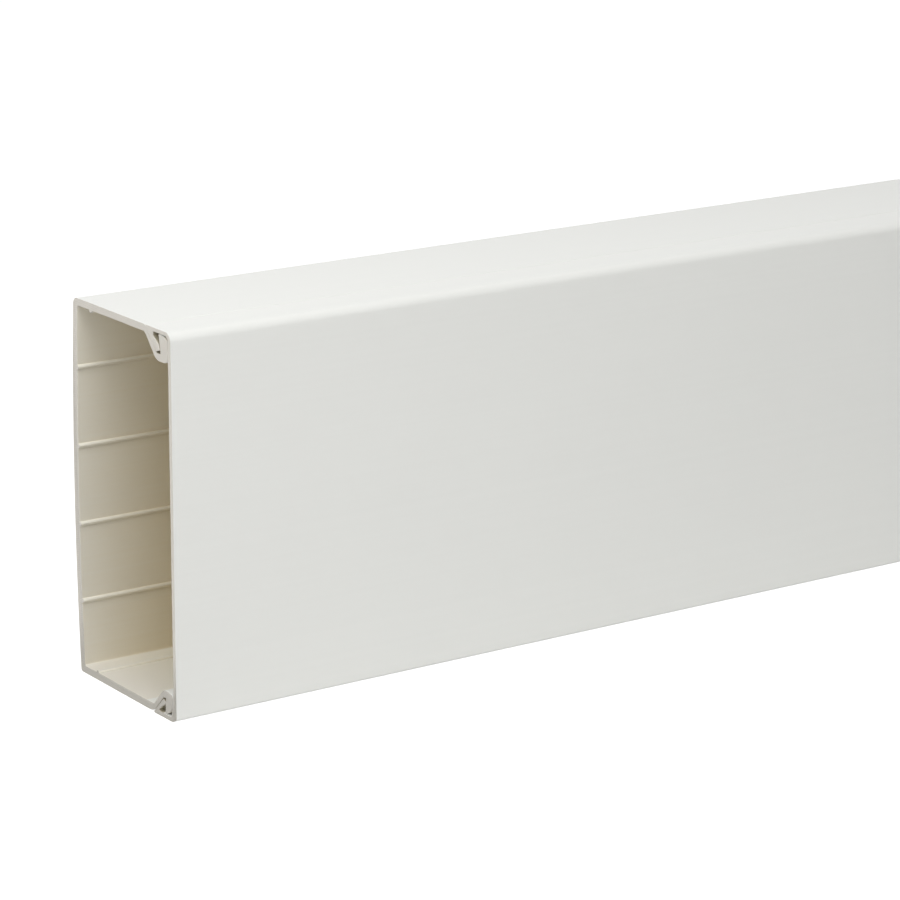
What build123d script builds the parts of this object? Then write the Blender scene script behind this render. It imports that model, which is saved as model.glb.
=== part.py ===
"""Two-piece cable trunking: a base channel that fixes to a wall, and a cover that snaps onto it.

Both pieces are straight extrusions of one section each. Section points are (forward, up):
forward from the wall face towards the front, up from the middle of the height.
"""
import os
from math import cos, floor, radians, sin, tan

from build123d import *

# Overall size, in millimetres
length = 2000.0
height = 105.0
depth = 50.0

# Base channel
base_wall = 2.0
base_outer_radius = 1.8
base_inner_radius = 0.8

# Half-round ribs inside the base: a row on the back, and one on each side
rib_radius = 0.7
rib_pitch = 22.0
rib_margin = 10.0
rib_rise = 0.6
side_rib_setback = 9.0

# Snap lip along each side of the base: a sloping web, a round nose with a pocket, and a catch
lip_angle = 48.0
lip_thickness = 1.5
lip_bend_radius = 0.8
upper_pocket_depth = 6.5
lower_pocket_depth = 5.2
pocket_radius = 0.25
nose_thickness = 2.0
upper_nose_radius = 3.2
lower_nose_radius = 2.0
nose_front_radius = 1.2
catch_thickness = 1.3
upper_catch_lean = 10.0
lower_catch_lean = 2.0

# Cover: a front, and along each edge a flange with a barbed leg that hooks into the pocket
cover_wall = 1.5
upper_corner_radius = 2.6
lower_corner_radius = 0.8
flange_wall = 1.1
flange_tip_height = 0.5
upper_leg_thickness = 1.3
lower_leg_thickness = 1.2
upper_barb_depth = 2.6
lower_barb_depth = 3.6
upper_tip_width = 1.8
lower_tip_width = 1.3
leg_tip_rise = 0.6
leg_tip_radius = 0.3
leg_root_radius = 0.3

# Fits between the two pieces
seam_gap = 0.03
leg_relief_angle = 1.0
leg_tip_gap = 0.4
leg_side_gap = 0.1
catch_end_gap = 0.1
front_gap = 2.0

half_height = height / 2
leg_angle = lip_angle - leg_relief_angle
lip_slope = 1 / tan(radians(lip_angle))
leg_slope = 1 / tan(radians(leg_angle))
lip_width = lip_thickness / sin(radians(lip_angle))
catch_round = 0.4 * catch_thickness
catch_foot = depth - cover_wall - front_gap
catch_end_depth = flange_wall + catch_end_gap


def snap_side(
    pocket_depth, nose_radius, catch_lean, leg_thickness, barb_depth, tip_width, corner_radius
):
    """Corners of the base's and the cover's half section on one side, from the outside inwards.

    Each corner is its place forward, its depth below the outer side face, and its radius.
    """
    nose_depth = pocket_depth + nose_thickness
    catch_width = catch_thickness / cos(radians(catch_lean))
    leg_width = leg_thickness / sin(radians(leg_angle))
    inner_radius = max(0, corner_radius - flange_wall)

    def catch_face(below):
        return catch_foot - catch_width - (nose_depth - below) * tan(radians(catch_lean))

    # The leg's barb and tip lie close behind the catch, and its back slopes up to the seam
    leg_back_depth = pocket_depth - leg_tip_gap
    leg_front_depth = leg_back_depth - leg_tip_rise
    leg_front = catch_face(leg_front_depth) - leg_side_gap
    leg_back = leg_front - tip_width
    seam = leg_back - leg_back_depth * leg_slope
    bend = seam - seam_gap
    flange_tip = seam + flange_tip_height * leg_slope

    base_corners = [
        (0, 0, base_outer_radius),
        (bend, 0, lip_bend_radius),
        (bend + pocket_depth * lip_slope, pocket_depth, pocket_radius),
        (catch_face(pocket_depth), pocket_depth, pocket_radius),
        (catch_face(catch_end_depth), catch_end_depth, catch_round),
        (catch_face(catch_end_depth) + catch_width, catch_end_depth, catch_round),
        (catch_foot, nose_depth, nose_front_radius),
        (bend + nose_depth * lip_slope - lip_width, nose_depth, nose_radius),
        (bend + base_wall * lip_slope - lip_width, base_wall, lip_bend_radius),
        (base_wall, base_wall, base_inner_radius),
    ]
    cover_corners = [
        (depth, 0, corner_radius),
        (flange_tip, 0, 0),
        (flange_tip, flange_tip_height, 0),
        (leg_back, leg_back_depth, leg_tip_radius),
        (leg_front, leg_front_depth, leg_tip_radius),
        (catch_face(barb_depth) - leg_side_gap, barb_depth, leg_tip_radius),
        (seam + flange_wall * leg_slope + leg_width, flange_wall, leg_root_radius),
        (depth - cover_wall, flange_wall, inner_radius),
    ]
    return base_corners, cover_corners


def points(corners, side):
    """The corners as section points, above the middle for side 1 and below it for side -1."""
    return [(forward, side * (half_height - below)) for forward, below, _ in corners]


def radii(corners):
    """The corners' radii."""
    return [radius for _, _, radius in corners]


upper_base, upper_cover = snap_side(
    upper_pocket_depth, upper_nose_radius, upper_catch_lean,
    upper_leg_thickness, upper_barb_depth, upper_tip_width, upper_corner_radius,
)
lower_base, lower_cover = snap_side(
    lower_pocket_depth, lower_nose_radius, lower_catch_lean,
    lower_leg_thickness, lower_barb_depth, lower_tip_width, lower_corner_radius,
)

# The section plane lies on one end, with its origin on the wall face at mid height
section_plane = Plane(
    origin=(length / 2, depth / 2, half_height), x_dir=(0, -1, 0), z_dir=(-1, 0, 0)
)

# Base channel: the two halves of the section meet at mid height, and the ribs are added to them
base_start = (0, 0)
base_finish = (base_wall, 0)
rib_span = height - 2 * (base_wall + rib_margin)
back_rib_count = 1 + floor(rib_span / rib_pitch)

with BuildPart() as base_channel:
    with BuildSketch(section_plane):
        for side, corners in ((1, upper_base), (-1, lower_base)):
            with BuildLine():
                FilletPolyline(base_start, *points(corners, side), base_finish, radius=radii(corners))
                Line(base_finish, base_start)
            make_face()
        with Locations((base_wall, rib_rise)):
            with GridLocations(0, rib_pitch, 1, back_rib_count):
                Circle(rib_radius)
        with Locations((side_rib_setback, 0)):
            with GridLocations(0, height - 2 * base_wall, 1, 2):
                Circle(rib_radius)
    extrude(amount=length)

# Cover, in the same two halves
cover_start = (depth, 0)
cover_finish = (depth - cover_wall, 0)

with BuildPart() as snap_cover:
    with BuildSketch(section_plane):
        for side, corners in ((1, upper_cover), (-1, lower_cover)):
            with BuildLine():
                FilletPolyline(cover_start, *points(corners, side), cover_finish, radius=radii(corners))
                Line(cover_finish, cover_start)
            make_face()
    extrude(amount=length)

base_channel.part.label = "base_channel"
snap_cover.part.label = "snap_cover"

os.makedirs("parts", exist_ok=True)
export_step(base_channel.part, "parts/base_channel.step")
export_step(snap_cover.part, "parts/snap_cover.step")
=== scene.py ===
"""Looks of the cord cover raceway: a sawn length of white plastic trunking on a white studio floor.

Two extrusions, the base channel and the cover that snaps onto it. Each is drawn again from the packed
section, with some forms corrected, and with the uneven cut and the rough rim that a saw leaves at both ends.
"""

from math import cos, radians, sin

import bmesh
import bpy
import numpy as np
from mathutils import Matrix, Vector


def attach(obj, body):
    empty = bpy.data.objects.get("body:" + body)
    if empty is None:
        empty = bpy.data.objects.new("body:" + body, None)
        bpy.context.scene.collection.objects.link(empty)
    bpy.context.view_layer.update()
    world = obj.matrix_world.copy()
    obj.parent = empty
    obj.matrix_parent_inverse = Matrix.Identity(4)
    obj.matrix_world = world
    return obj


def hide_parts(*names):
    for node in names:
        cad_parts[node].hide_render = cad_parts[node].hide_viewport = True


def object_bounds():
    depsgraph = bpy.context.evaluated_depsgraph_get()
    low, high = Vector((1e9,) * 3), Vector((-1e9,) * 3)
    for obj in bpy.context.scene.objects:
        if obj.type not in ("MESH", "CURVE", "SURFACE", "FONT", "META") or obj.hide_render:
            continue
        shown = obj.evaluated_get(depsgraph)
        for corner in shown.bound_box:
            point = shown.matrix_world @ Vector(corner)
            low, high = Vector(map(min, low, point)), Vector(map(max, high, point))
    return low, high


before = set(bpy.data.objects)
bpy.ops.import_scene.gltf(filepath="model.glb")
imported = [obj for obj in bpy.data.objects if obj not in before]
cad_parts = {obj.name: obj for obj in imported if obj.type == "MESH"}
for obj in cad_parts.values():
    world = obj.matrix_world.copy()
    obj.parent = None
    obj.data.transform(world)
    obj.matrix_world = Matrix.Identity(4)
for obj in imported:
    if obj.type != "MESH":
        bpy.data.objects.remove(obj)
cad_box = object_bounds()

# Sizes are in metres
NEAR_END = cad_box[0].x
FAR_END = cad_box[1].x
FRONT = cad_box[0].y
WALL_FACE = cad_box[1].y
HEIGHT = cad_box[1].z
SAME_POINT = 1e-6

# The catches at the lips' ends are thicker than in the solids, from below their bevelled tips on
CATCH_START = 0.0445
CATCH_TIP = 0.0012
UPPER_CATCH_BEVEL = 0.0007
LOWER_CATCH_BEVEL = 0.0014
COVER_WALL = 0.0015
CATCH_GAP = 0.00025

# The ribs on the back are this share closer together than in the solids, measured from the top one
RIB_CLOSENESS = 0.0095
TOP_RIB = 0.0861
BACK_CORNER = 0.005

# The base's lower back corner is keener than in the solids: their radius there, and the share that stays
BACK_CORNER_RADIUS = 0.0018
KEEN_CORNER_SHARE = 0.45

# The lower seam gapes: the base's bend is bevelled, and the cover's leg stands off it and is slimmer
BEND_BEVEL_START = 0.0378
BEND_BEVEL_SLOPE = 0.35
LIP_END = 0.0415
LOWER_LEG_START = 0.039
LOWER_LEG_END = 0.0449
LOWER_LEG_HEIGHT = 0.0045
SEAM_OPENING = 0.0004
LEG_SLIMMING = 0.0003

# The upper leg, down from the top: its root, its barb in the solids, its barb here, and its tip
UPPER_LEG_ROOT = 0.0011
UPPER_BARB = 0.0026
LOW_UPPER_BARB = 0.0040
UPPER_LEG_TIP = 0.0055
UPPER_LEG_FACING = 0.1

# Sawn ends: the cut stands back from the stock's end, except at the middle of the back wall
CUT_SETBACK = 0.0009
CUT_BULGE_REACH = 0.012
BASE_CUT_SLANT = 0.00015
COVER_CUT_SLANT = 0.00022

# Low on the ends the cuts run out again: along the base's lower side, and at the cover's lower flange
BASE_LOW_CUT = 0.00045
BASE_LOW_CUT_HEIGHT = 0.01
BASE_LOW_CUT_REACH = 0.035
COVER_LOW_CUT = 0.0009
COVER_LOW_CUT_HEIGHT = 0.006
COVER_LOW_CUT_REACH = 0.0008

# Sawn rim of each end, keener along the outer faces
RIM_WIDTH = 0.00018
RIM_VARIATION = 0.0001
OUTER_RIM_SHARE = 0.15
RIM_STEP = 0.0007
RIM_SEED = 7

# An edge of the rim keeps at least this share of its length, reached within a few tries
RIM_EDGE_SHARE = 0.25
RIM_TRIES = 8

# Rings of points along the length, measured in from each cut
RING_STEPS = (0.0012, 0.02, 0.1, 0.25, 0.5)
SMOOTH_UP_TO = radians(30)

# Faces take their finish from this order
SKIN, SIDE_INSIDE, BACK_INSIDE, RIB_HIGHLIGHT, SHADED_HOLLOW, CUT = range(6)

# Outer faces lie this near the sides of the box, and the base's lips start this far from its back
SKIN_DEPTH = 0.0015
LIP_START = 0.035

# How near the outside the inner faces of the back and the sides lie, and how squarely a wall's faces look
BACK_INSIDE_DEPTH = 0.0032
SIDE_INSIDE_DEPTH = 0.0035
SIDE_FACING = 0.7

# Faces of the lips' hollows, which get painted shade, look outwards by more than the first, or to the back
# by more than the second
HOLLOW_OUTWARD = 0.1
HOLLOW_BACKWARD = 0.9

# Painted highlight on the lit sides of the ribs: how far they stand from the outside, and how far they look
# up and to the front
RIB_START = 0.0021
RIB_UPWARD = 0.15
BACK_RIB_FORWARD = 0.3
SIDE_RIB_FORWARD = 0.6

# Colours of the plastic, dark and pale
SKIN_SHADES = (0.862, 0.867, 0.832, 1), (0.878, 0.883, 0.848, 1)
# The inside's own warm cream tone, with painted shade: the dark shade deep inside, the pale one near the
# ends, and the back wall painted darker and browner than the sides
SIDE_INSIDE_SHADES = (0.82, 0.78, 0.64, 1), (0.815, 0.785, 0.715, 1)
BACK_INSIDE_SHADES = (0.735, 0.605, 0.38, 1), (0.81, 0.77, 0.665, 1)
# Painted highlight on the lit sides of the ribs, with painted shade deeper in like the rest of the inside
RIB_HIGHLIGHT_SHADES = (0.72, 0.625, 0.44, 1), (0.94, 0.91, 0.81, 1)
# Painted shade in the lips' hollows: a dark colour where the same white plastic only lies in shadow
SHADED_HOLLOW_SHADES = (0.36, 0.32, 0.22, 1), (0.46, 0.42, 0.31, 1)
CUT_SHADES = (0.45, 0.43, 0.385, 1), (0.72, 0.685, 0.62, 1)

# Streaks along the length, and wide clouds on the outer skin
STREAK_WIDTH = 0.0011
STREAK_LENGTH = 0.5
STREAK_HEIGHT = 0.00001
STREAK_DETAIL = 3.0
CLOUD_SIZE = 0.06
CLOUD_STRETCH = 3
CLOUD_DETAIL = 2.0
CLOUD_SHARE = 0.5
SKIN_TONES = 0.3, 0.7
SKIN_ROUGHNESS = 0.36, 0.46

# The inside is painted paler towards the ends, where light falls in, and darker deeper in as painted shade,
# unevenly from streak to streak
PALE_END_REACH = 0.038
INSIDE_UNEVENNESS = 0.12
INSIDE_ROUGHNESS = 0.4, 0.5

# Saw marks: rings round a far centre, with the wave texture's own pitch at a scale of one
UNIT_PITCH = 0.314
SAW_PITCH = 0.0006
SAW_CENTRE = Vector((0.0, 0.03, -0.13))
SAW_HEIGHT = 0.000008
SAW_DISTORTION = 3.0
SAW_DETAIL = 2.0
SAW_DETAIL_SCALE = 2.0

# The cuts are patchy, and painted darker low down as shade, where less light reaches
CUT_PATCH_SIZE = 0.004
CUT_PATCH_DETAIL = 2.0
CUT_MARK_SHARE = 0.4
CUT_UNEVEN_SHARE = 0.4
CUT_PAINTED_SHADE_UP_TO = 0.006
CUT_UNSHADED_FROM = 0.022
CUT_ROUGHNESS = 0.75, 0.55

# Studio
FLOOR_SIDE = 60.0
FLOOR_COLOUR = (0.8, 0.8, 0.8, 1)
FLOOR_GLOW = 0.66
WORLD_COLOUR = (1, 1, 1, 1)
WORLD_STRENGTH = 0.4
BACKDROP_STRENGTH = 1.0

# Softboxes
NEAR_AIM = Vector((-0.95, 0.0, 0.05))
ABOVE_PLACE = Vector((-1.2, -0.35, 0.8))
ABOVE_SIZE = (0.6, 0.6)
ABOVE_WATTS = 4.2
END_PLACE = Vector((-1.8, -0.15, 0.55))
END_SIZE = (0.5, 0.5)
END_WATTS = 1.74
FAR_AIM = Vector((0.45, 0.0, 0.05))
FAR_PLACE = Vector((0.45, -0.45, 0.75))
FAR_SIZE = (1.4, 0.3)
FAR_WATTS = 1.3
FAR_SPREAD = radians(60)
FAR_END_AIM = Vector((0.95, 0.0, 0.05))
FAR_END_PLACE = Vector((1.8, -0.15, 0.55))
BEHIND_AIM = Vector((0.0, 0.0, 0.05))
BEHIND_PLACE = Vector((0.0, 0.9, 0.06))
BEHIND_SIZE = (2.2, 0.11)
BEHIND_WATTS = 2.6
WIDE_SPREAD = radians(180)

# Camera
CAMERA_PLACE = Vector((-1.47302, -0.81759, 0.33183))
CAMERA_AZIMUTH = radians(-35.312)
CAMERA_ELEVATION = radians(15.594)
CAMERA_ROLL = radians(-0.459)
SENSOR_WIDTH_MM = 36
LENS_MM = 148.67


def section_outline(node):
    """A node's section as a closed run of (y, z) points, read from the rim of its near end."""
    shape = bmesh.new()
    shape.from_mesh(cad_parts[node].data)
    bmesh.ops.remove_doubles(shape, verts=shape.verts, dist=SAME_POINT)
    cap = {face for face in shape.faces
           if all(abs(vert.co.x - NEAR_END) < SAME_POINT for vert in face.verts)}
    rim = [edge for edge in shape.edges if len(cap.intersection(edge.link_faces)) == 1]
    beside = {}
    for edge in rim:
        first, second = edge.verts
        beside.setdefault(first, []).append(second)
        beside.setdefault(second, []).append(first)
    start = rim[0].verts[0]
    run = [start, beside[start][0]]
    while run[-1] is not start:
        run.append(next(vert for vert in beside[run[-1]] if vert is not run[-2]))
    points = np.array([(vert.co.y, vert.co.z) for vert in run[:-1]])
    shape.free()
    after = np.roll(points, -1, axis=0)
    area = np.sum(points[:, 0] * after[:, 1] - after[:, 0] * points[:, 1])
    return points if area > 0 else points[::-1]


def divided(outline, step):
    """The outline with its long straight runs divided into even steps."""
    points = []
    for start, end in zip(outline, np.roll(outline, -1, axis=0)):
        count = max(1, round(np.linalg.norm(end - start) / step))
        points += [start + (end - start) * k / count for k in range(count)]
    return np.array(points)


def edge_normals(outline):
    """For each edge of the outline, the direction into the section."""
    along = np.roll(outline, -1, axis=0) - outline
    along /= np.linalg.norm(along, axis=1)[:, None]
    return np.stack([-along[:, 1], along[:, 0]], axis=1)


def edge_middles(outline):
    """The middle of each edge of the outline."""
    return (outline + np.roll(outline, -1, axis=0)) / 2


def inward(outline):
    """For each point, the move that takes both its edges one metre into the section."""
    after = edge_normals(outline)
    before = np.roll(after, 1, axis=0)
    both = after + before
    return both / (1 + np.sum(after * before, axis=1))[:, None]


def from_back(points):
    """How far in front of the wall face each point lies."""
    return WALL_FACE - points[:, 0]


def from_side(points):
    """How far each point lies from the nearer one of the lower and the upper side."""
    return np.minimum(points[:, 1], HEIGHT - points[:, 1])


def fading(distance, reach):
    """One where the distance is zero, falling evenly to zero at the reach."""
    return np.clip(1 - distance / reach, 0, 1)


def outer_edges(outline):
    """Which edges of the outline lie on the outside of the raceway."""
    middle = edge_middles(outline)
    inside = edge_normals(outline)
    low = middle - np.array((FRONT, 0))
    high = np.array((WALL_FACE, HEIGHT)) - middle
    outer = ((low < SKIN_DEPTH) & (inside > 0)) | ((high < SKIN_DEPTH) & (inside < 0))
    return outer.any(axis=1)


def with_thick_catches(outline):
    """The base's outline with the fronts of its two catches moved out, close behind the cover."""
    moved = outline.copy()
    catch = from_back(outline) > CATCH_START
    to_the_front = np.clip(inward(outline)[:, 0], 0, 1)
    bevel = np.where(outline[:, 1] > HEIGHT / 2, UPPER_CATCH_BEVEL, LOWER_CATCH_BEVEL)
    below_tip = np.clip((from_side(outline) - CATCH_TIP) / bevel, 0, 1)
    room = outline[:, 0] - (FRONT + COVER_WALL + CATCH_GAP)
    moved[:, 0] -= room * catch * to_the_front * below_tip
    return moved


def with_bevelled_bend(outline):
    """The base's outline with a bevel where its lower side bends into the lip."""
    moved = outline.copy()
    bevel = (from_back(outline) - BEND_BEVEL_START) * BEND_BEVEL_SLOPE
    bent = from_back(outline) < LIP_END
    moved[:, 1] = np.where(bent, np.maximum(outline[:, 1], bevel), outline[:, 1])
    return moved


def with_keen_corner(outline):
    """The base's outline with a smaller radius at its lower back corner."""
    corner = np.array((WALL_FACE, 0))
    near = (np.abs(outline - corner) < BACK_CORNER_RADIUS + SAME_POINT).all(axis=1)
    return np.where(near[:, None], corner + KEEN_CORNER_SHARE * (outline - corner), outline)


def with_closer_ribs(outline):
    """The base's outline with the ribs of its back moved up, the lowest one most."""
    moved = outline.copy()
    inside = edge_normals(outline)[:, 0] > -SIDE_FACING
    back = (from_back(outline) < BACK_INSIDE_DEPTH) & (from_side(outline) > BACK_CORNER) & inside
    moved[:, 1] += RIB_CLOSENESS * (TOP_RIB - outline[:, 1]) * back
    return moved


def with_slim_lower_leg(outline):
    """The cover's outline with its lower leg set off from the base's lip, and slimmer at its root."""
    moved = outline.copy()
    leg = (from_back(outline) > LOWER_LEG_START) & (from_back(outline) < LOWER_LEG_END)
    fade = leg * fading(outline[:, 1], LOWER_LEG_HEIGHT)
    to_the_back = np.clip(-inward(outline)[:, 0], 0, 1)
    to_the_front = np.clip(inward(outline)[:, 0], 0, 1)
    moved[:, 0] += fade * (LEG_SLIMMING * to_the_front - SEAM_OPENING * to_the_back)
    return moved


def with_low_upper_barb(outline):
    """The cover's outline with the barb of its upper leg further down, under a larger hollow."""
    moved = outline.copy()
    down = HEIGHT - outline[:, 1]
    behind_catch = from_back(outline) < CATCH_START + CATCH_GAP
    to_the_front = inward(outline)[:, 0] > UPPER_LEG_FACING
    leg = behind_catch & to_the_front & (down > UPPER_LEG_ROOT) & (down < UPPER_LEG_TIP)
    lower = np.interp(down, (UPPER_LEG_ROOT, UPPER_BARB, UPPER_LEG_TIP),
                      (UPPER_LEG_ROOT, LOW_UPPER_BARB, UPPER_LEG_TIP))
    moved[:, 1] = np.where(leg, HEIGHT - lower, outline[:, 1])
    return moved


def base_section():
    """The base's outline as it is drawn."""
    outline = divided(section_outline("base_channel"), RIM_STEP)
    outline = with_bevelled_bend(with_thick_catches(outline))
    return with_closer_ribs(with_keen_corner(outline))


def cover_section():
    """The cover's outline as it is drawn."""
    outline = divided(section_outline("snap_cover"), RIM_STEP)
    return with_low_upper_barb(with_slim_lower_leg(outline))


def height_across(outline):
    """The height of each point, from -1 at the lower side to 1 at the upper one."""
    return (2 * outline[:, 1] - HEIGHT) / HEIGHT


def base_cut(outline):
    """How far the base's cut stands back: least at the middle of the back, and less along the lower side."""
    across = height_across(outline)
    behind = fading(from_back(outline), CUT_BULGE_REACH)
    bulged = CUT_SETBACK * (1 - behind * (1 - across ** 2))
    low = fading(outline[:, 1], BASE_LOW_CUT_HEIGHT)
    forward = np.clip(from_back(outline) / BASE_LOW_CUT_REACH, 0, 1)
    return np.maximum(0, bulged - BASE_CUT_SLANT * across - BASE_LOW_CUT * low * forward)


def cover_cut(outline):
    """How far the cover's cut stands back: it leans away downwards, and runs out at the lower flange."""
    low = fading(outline[:, 1], COVER_LOW_CUT_HEIGHT)
    backward = np.clip((outline[:, 0] - FRONT) / COVER_LOW_CUT_REACH, 0, 1)
    return CUT_SETBACK - COVER_CUT_SLANT * height_across(outline) - COVER_LOW_CUT * low * backward


def base_finish(outline):
    """Finish of each edge of the base's outline: white lips with painted shade in their hollows, a warm
    inside with painted shade deeper in and on the back wall, and a painted highlight on the ribs' lit sides.
    """
    middle = edge_middles(outline)
    facing = -edge_normals(outline)
    back = from_back(middle)
    side = from_side(middle)
    outward = facing[:, 1] * np.sign(middle[:, 1] - HEIGHT / 2)
    # Painted shade: faces in the lips' hollows get a dark colour
    hollow = (outward > HOLLOW_OUTWARD) | (facing[:, 0] > HOLLOW_BACKWARD)
    lip = np.where(hollow, SHADED_HOLLOW, SKIN)
    on_side = (side < SIDE_INSIDE_DEPTH) & (np.abs(facing[:, 1]) > SIDE_FACING)
    # Painted shade: the back's inner face gets a darker colour than the inner faces of the sides
    wall = np.where(on_side | (back > BACK_INSIDE_DEPTH), SIDE_INSIDE, BACK_INSIDE)
    forward = np.where(side < back, SIDE_RIB_FORWARD, BACK_RIB_FORWARD)
    # Painted highlight: the ribs' sides that look up and to the front get a paler colour
    lit = (facing[:, 1] > RIB_UPWARD) & (facing[:, 0] < -forward)
    rib = (np.minimum(back, side) > RIB_START) & lit
    inside = np.where(rib, RIB_HIGHLIGHT, wall)
    return np.where(outer_edges(outline), SKIN, np.where(back > LIP_START, lip, inside))


def cover_finish(outline):
    """Finish of each edge of the cover's outline: white, with painted shade in the hollows behind the
    catches.
    """
    behind_catch = from_back(edge_middles(outline)) < CATCH_START
    return np.where(behind_catch & ~outer_edges(outline), SHADED_HOLLOW, SKIN)


def smooth_noise(count, random):
    """An uneven run of values from -1 to 1 round a closed outline."""
    values = random.uniform(-1, 1, count)
    return (np.roll(values, 1) + 2 * values + np.roll(values, -1)) / 4


def kept_in_order(inset, outline):
    """The inset, taken back at tight bends, where the points of the rim would pass each other."""
    move = inward(outline)
    along = np.roll(outline, -1, axis=0) - outline
    least = RIM_EDGE_SHARE * np.sum(along ** 2, axis=1)
    for _ in range(RIM_TRIES):
        rim = outline + move * inset[:, None]
        passed = np.sum((np.roll(rim, -1, axis=0) - rim) * along, axis=1) < least
        inset = np.where(passed | np.roll(passed, 1), inset / 2, inset)
    return inset


def sawn_end(end, into, outline, cut, random):
    """Rings of points from one end's cut inwards: the rim of the cut, the edge behind it, and the steps."""
    count = len(outline)
    outer = outer_edges(outline)
    keenness = np.where(outer | np.roll(outer, 1), OUTER_RIM_SHARE, 1)
    inset = keenness * (RIM_WIDTH + RIM_VARIATION * smooth_noise(count, random))
    depth = keenness * (RIM_WIDTH + RIM_VARIATION * smooth_noise(count, random))
    rim = outline + inward(outline) * kept_in_order(inset, outline)[:, None]
    rings = [(0, rim), (depth, outline)]
    rings += [(step, outline) for step in RING_STEPS]
    return [np.column_stack([end + into * (cut(outline) + along), flat]) for along, flat in rings]


def sawn_rings(outline, cut, random):
    """Rings of points along the whole length, from the near cut to the far one."""
    near = sawn_end(NEAR_END, 1, outline, cut, random)
    far = sawn_end(FAR_END, -1, outline, cut, random)
    middle = np.column_stack([np.full(len(outline), (NEAR_END + FAR_END) / 2), outline])
    return [*near, middle, *reversed(far)]


def ring_faces(count, ring_count, long_kinds):
    """Faces over rings of points, closed by the two cuts, and the finish of each."""
    faces = [list(range(count))[::-1]]
    kinds = [CUT]
    for ring in range(ring_count - 1):
        rim = ring in (0, ring_count - 2)
        for k in range(count):
            here = ring * count + k
            beside = ring * count + (k + 1) % count
            faces.append([here, beside, beside + count, here + count])
            kinds.append(CUT if rim else long_kinds[k])
    last = (ring_count - 1) * count
    faces.append(list(range(last, last + count)))
    kinds.append(CUT)
    return faces, kinds


def sawn_extrusion(name, node, outline, cut, finish, materials, random):
    """Draws a node's extrusion again with uneven cuts and sawn rims, in place of the node."""
    rings = sawn_rings(outline, cut, random)
    faces, kinds = ring_faces(len(outline), len(rings), finish(outline).tolist())
    mesh = bpy.data.meshes.new(name)
    mesh.from_pydata(np.concatenate(rings).tolist(), [], faces)
    for material in materials:
        mesh.materials.append(material)
    mesh.polygons.foreach_set("material_index", kinds)
    mesh.shade_smooth()
    mesh.set_sharp_from_angle(angle=SMOOTH_UP_TO)
    piece = bpy.data.objects.new(name, mesh)
    bpy.context.scene.collection.objects.link(piece)
    weighted = piece.modifiers.new("even_shading", "WEIGHTED_NORMAL")
    weighted.keep_sharp = True
    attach(piece, "root")
    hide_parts(node)


def new_plastic(name):
    """A material with its nodes, its links, its shader and the object's own coordinates."""
    material = bpy.data.materials.new(name)
    material.use_nodes = True
    nodes, links = material.node_tree.nodes, material.node_tree.links
    coordinates = nodes.new("ShaderNodeTexCoord").outputs["Object"]
    return material, nodes, links, nodes["Principled BSDF"], coordinates


def axis(nodes, links, coordinates, letter):
    """One of the three coordinates."""
    axes = nodes.new("ShaderNodeSeparateXYZ")
    links.new(coordinates, axes.inputs["Vector"])
    return axes.outputs[letter]


def combined(nodes, links, operation, *factors):
    """The result of a math operation on one factor or on two."""
    result = nodes.new("ShaderNodeMath")
    result.operation = operation
    for factor, place in zip(factors, result.inputs):
        links.new(factor, place)
    return result.outputs[0]


def between(nodes, links, factor, low, high):
    """A value that goes from low to high as the factor goes from zero to one."""
    span = nodes.new("ShaderNodeMapRange")
    links.new(factor, span.inputs["Value"])
    span.inputs["To Min"].default_value = low
    span.inputs["To Max"].default_value = high
    return span.outputs["Result"]


def rise(nodes, links, value, low, high):
    """A factor that goes from zero to one as the value goes from low to high."""
    span = nodes.new("ShaderNodeMapRange")
    links.new(value, span.inputs["Value"])
    span.inputs["From Min"].default_value = low
    span.inputs["From Max"].default_value = high
    return span.outputs["Result"]


def blend(nodes, links, first, second, share):
    """A factor made of this share of the first factor, and of the second for the rest."""
    total = nodes.new("ShaderNodeMath")
    total.operation = "MULTIPLY_ADD"
    links.new(first, total.inputs[0])
    total.inputs[1].default_value = share
    links.new(between(nodes, links, second, 0.0, 1 - share), total.inputs[2])
    return total.outputs[0]


def noise(nodes, links, coordinates, size, detail):
    """Noise from zero to one, with grains of this size along x, y and z."""
    mapping = nodes.new("ShaderNodeMapping")
    mapping.inputs["Scale"].default_value = [1 / side for side in size]
    links.new(coordinates, mapping.inputs["Vector"])
    texture = nodes.new("ShaderNodeTexNoise")
    texture.inputs["Scale"].default_value = 1.0
    texture.inputs["Detail"].default_value = detail
    links.new(mapping.outputs["Vector"], texture.inputs["Vector"])
    return texture.outputs["Fac"]


def shade(nodes, links, factor, shades, low=0.0, high=1.0):
    """A colour that goes from the dark shade to the pale one as the factor goes from low to high."""
    ramp = nodes.new("ShaderNodeValToRGB")
    dark, pale = ramp.color_ramp.elements
    dark.position, pale.position = low, high
    dark.color, pale.color = shades
    links.new(factor, ramp.inputs["Fac"])
    return ramp.outputs["Color"]


def relief(nodes, links, shader, height, distance):
    """Bump of this real height on a shader."""
    bump = nodes.new("ShaderNodeBump")
    bump.inputs["Distance"].default_value = distance
    links.new(height, bump.inputs["Height"])
    links.new(bump.outputs["Normal"], shader.inputs["Normal"])


def die_lines(nodes, links, coordinates):
    """Fine streaks that the die drew along the length."""
    size = (STREAK_LENGTH, STREAK_WIDTH, STREAK_WIDTH)
    return noise(nodes, links, coordinates, size, STREAK_DETAIL)


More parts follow.
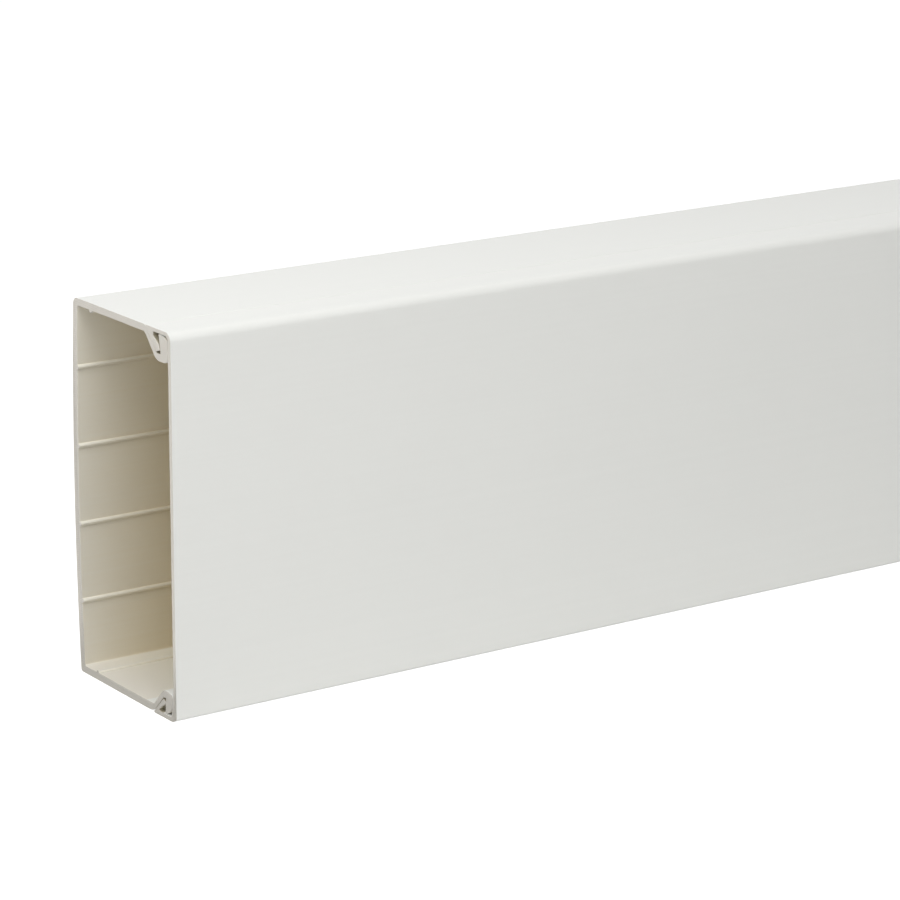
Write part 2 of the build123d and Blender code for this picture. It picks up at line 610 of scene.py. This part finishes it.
def saw_arcs(nodes, links, coordinates):
    """The faint arcs that a round saw blade leaves."""
    centred = nodes.new("ShaderNodeMapping")
    centred.vector_type = "TEXTURE"
    centred.inputs["Location"].default_value = SAW_CENTRE
    links.new(coordinates, centred.inputs["Vector"])
    arcs = nodes.new("ShaderNodeTexWave")
    arcs.wave_type = "RINGS"
    arcs.rings_direction = "X"
    arcs.inputs["Scale"].default_value = UNIT_PITCH / SAW_PITCH
    arcs.inputs["Distortion"].default_value = SAW_DISTORTION
    arcs.inputs["Detail"].default_value = SAW_DETAIL
    arcs.inputs["Detail Scale"].default_value = SAW_DETAIL_SCALE
    links.new(centred.outputs["Vector"], arcs.inputs["Vector"])
    return arcs.outputs["Fac"]


def outer_skin():
    """Smooth white plastic with faint die lines, and wide clouds that hardly show."""
    material, nodes, links, shader, coordinates = new_plastic("white_skin")
    streaks = die_lines(nodes, links, coordinates)
    size = (CLOUD_STRETCH * CLOUD_SIZE, CLOUD_SIZE, CLOUD_SIZE)
    clouds = noise(nodes, links, coordinates, size, CLOUD_DETAIL)
    tone = blend(nodes, links, clouds, streaks, CLOUD_SHARE)
    links.new(shade(nodes, links, tone, SKIN_SHADES, *SKIN_TONES), shader.inputs["Base Color"])
    links.new(between(nodes, links, streaks, *SKIN_ROUGHNESS), shader.inputs["Roughness"])
    relief(nodes, links, shader, streaks, STREAK_HEIGHT)
    return material


def inner_face(name, shades):
    """Plastic of the inside, with painted shade: darker deeper in and paler near the sawn ends, with the
    same die lines.
    """
    material, nodes, links, shader, coordinates = new_plastic(name)
    streaks = die_lines(nodes, links, coordinates)
    along = combined(nodes, links, "ABSOLUTE", axis(nodes, links, coordinates, "X"))
    nearness = rise(nodes, links, along, FAR_END - PALE_END_REACH, FAR_END)
    unevenness = between(nodes, links, streaks, -INSIDE_UNEVENNESS, INSIDE_UNEVENNESS)
    tone = combined(nodes, links, "ADD", nearness, unevenness)
    links.new(shade(nodes, links, tone, shades), shader.inputs["Base Color"])
    links.new(between(nodes, links, streaks, *INSIDE_ROUGHNESS), shader.inputs["Roughness"])
    relief(nodes, links, shader, streaks, STREAK_HEIGHT)
    return material


def sawn_face():
    """A patchy cut with saw marks, with painted shade darker low down."""
    material, nodes, links, shader, coordinates = new_plastic("sawn_face")
    marks = saw_arcs(nodes, links, coordinates)
    patches = noise(nodes, links, coordinates, (CUT_PATCH_SIZE,) * 3, CUT_PATCH_DETAIL)
    uneven = blend(nodes, links, marks, patches, CUT_MARK_SHARE)
    # Painted shade: darker towards the bottom of the cut
    height = rise(nodes, links, axis(nodes, links, coordinates, "Z"), CUT_PAINTED_SHADE_UP_TO, CUT_UNSHADED_FROM)
    tone = blend(nodes, links, uneven, height, CUT_UNEVEN_SHARE)
    links.new(shade(nodes, links, tone, CUT_SHADES), shader.inputs["Base Color"])
    links.new(between(nodes, links, marks, *CUT_ROUGHNESS), shader.inputs["Roughness"])
    relief(nodes, links, shader, marks, SAW_HEIGHT)
    return material


def where_seen(nodes, links):
    """One for what the camera, gloss and glass see, and zero for light that bounces."""
    path = nodes.new("ShaderNodeLightPath")
    seen = path.outputs["Is Camera Ray"]
    for ray in ("Is Glossy Ray", "Is Transmission Ray"):
        seen = combined(nodes, links, "MAXIMUM", seen, path.outputs[ray])
    return seen


def make_floor():
    """A wide pale floor that reads as white where it is lit, and keeps the object's shadow."""
    half = FLOOR_SIDE / 2
    mesh = bpy.data.meshes.new("floor")
    corners = [(-half, -half, 0), (half, -half, 0), (half, half, 0), (-half, half, 0)]
    mesh.from_pydata(corners, [], [(0, 1, 2, 3)])
    material = bpy.data.materials.new("floor")
    material.use_nodes = True
    nodes, links = material.node_tree.nodes, material.node_tree.links
    nodes.clear()
    diffuse = nodes.new("ShaderNodeBsdfDiffuse")
    diffuse.inputs["Color"].default_value = FLOOR_COLOUR
    glow = nodes.new("ShaderNodeEmission")
    strength = between(nodes, links, where_seen(nodes, links), 0.0, FLOOR_GLOW)
    links.new(strength, glow.inputs["Strength"])
    both = nodes.new("ShaderNodeAddShader")
    links.new(diffuse.outputs[0], both.inputs[0])
    links.new(glow.outputs[0], both.inputs[1])
    output = nodes.new("ShaderNodeOutputMaterial")
    links.new(both.outputs[0], output.inputs["Surface"])
    mesh.materials.append(material)
    floor = bpy.data.objects.new("floor", mesh)
    bpy.context.scene.collection.objects.link(floor)


def make_world():
    """Even studio light from all round, and a white backdrop where the camera looks past the floor."""
    world = bpy.data.worlds.new("studio")
    world.use_nodes = True
    bpy.context.scene.world = world
    nodes, links = world.node_tree.nodes, world.node_tree.links
    background = nodes["Background"]
    background.inputs["Color"].default_value = WORLD_COLOUR
    strength = between(nodes, links, where_seen(nodes, links), WORLD_STRENGTH, BACKDROP_STRENGTH)
    links.new(strength, background.inputs["Strength"])


def make_softbox(name, place, aim, size, watts, spread=WIDE_SPREAD):
    """A soft lamp aimed at a point, which the camera doesn't see."""
    lamp = bpy.data.lights.new(name, "AREA")
    lamp.shape = "RECTANGLE"
    lamp.size, lamp.size_y = size
    lamp.energy = watts
    lamp.spread = spread
    light = bpy.data.objects.new(name, lamp)
    light.location = place
    light.rotation_mode = "QUATERNION"
    light.rotation_quaternion = (place - aim).to_track_quat("Z", "Y")
    light.visible_camera = False
    bpy.context.scene.collection.objects.link(light)


def make_camera():
    """The photograph's camera, fitted to the object's edges and corners."""
    azimuth, elevation = CAMERA_AZIMUTH, CAMERA_ELEVATION
    back = Vector((sin(azimuth) * cos(elevation), -cos(azimuth) * cos(elevation), sin(elevation)))
    right = Vector((0, 0, 1)).cross(back).normalized()
    up = back.cross(right)
    turned_right = cos(CAMERA_ROLL) * right - sin(CAMERA_ROLL) * up
    turned_up = cos(CAMERA_ROLL) * up + sin(CAMERA_ROLL) * right
    lens = bpy.data.cameras.new("camera")
    lens.sensor_width = SENSOR_WIDTH_MM
    lens.lens = LENS_MM
    camera = bpy.data.objects.new("camera", lens)
    turn = Matrix((turned_right, turned_up, back)).transposed()
    camera.matrix_world = Matrix.Translation(CAMERA_PLACE) @ turn.to_4x4()
    bpy.context.scene.collection.objects.link(camera)
    bpy.context.scene.camera = camera


rng = np.random.default_rng(RIM_SEED)
finishes = [
    outer_skin(),
    inner_face("side_inside", SIDE_INSIDE_SHADES),
    inner_face("back_inside", BACK_INSIDE_SHADES),
    inner_face("rib_painted_highlight", RIB_HIGHLIGHT_SHADES),
    inner_face("lip_hollow_painted_shade", SHADED_HOLLOW_SHADES),
    sawn_face(),
]
sawn_extrusion("base_extrusion", "base_channel", base_section(),
               base_cut, base_finish, finishes, rng)
sawn_extrusion("cover_extrusion", "snap_cover", cover_section(),
               cover_cut, cover_finish, finishes, rng)

make_floor()
make_world()
make_softbox("above", ABOVE_PLACE, NEAR_AIM, ABOVE_SIZE, ABOVE_WATTS)
make_softbox("end", END_PLACE, NEAR_AIM, END_SIZE, END_WATTS)
make_softbox("far", FAR_PLACE, FAR_AIM, FAR_SIZE, FAR_WATTS, FAR_SPREAD)
make_softbox("far_end", FAR_END_PLACE, FAR_END_AIM, END_SIZE, END_WATTS)
make_softbox("behind", BEHIND_PLACE, BEHIND_AIM, BEHIND_SIZE, BEHIND_WATTS)
make_camera()
bpy.context.scene.view_settings.view_transform = "Standard"
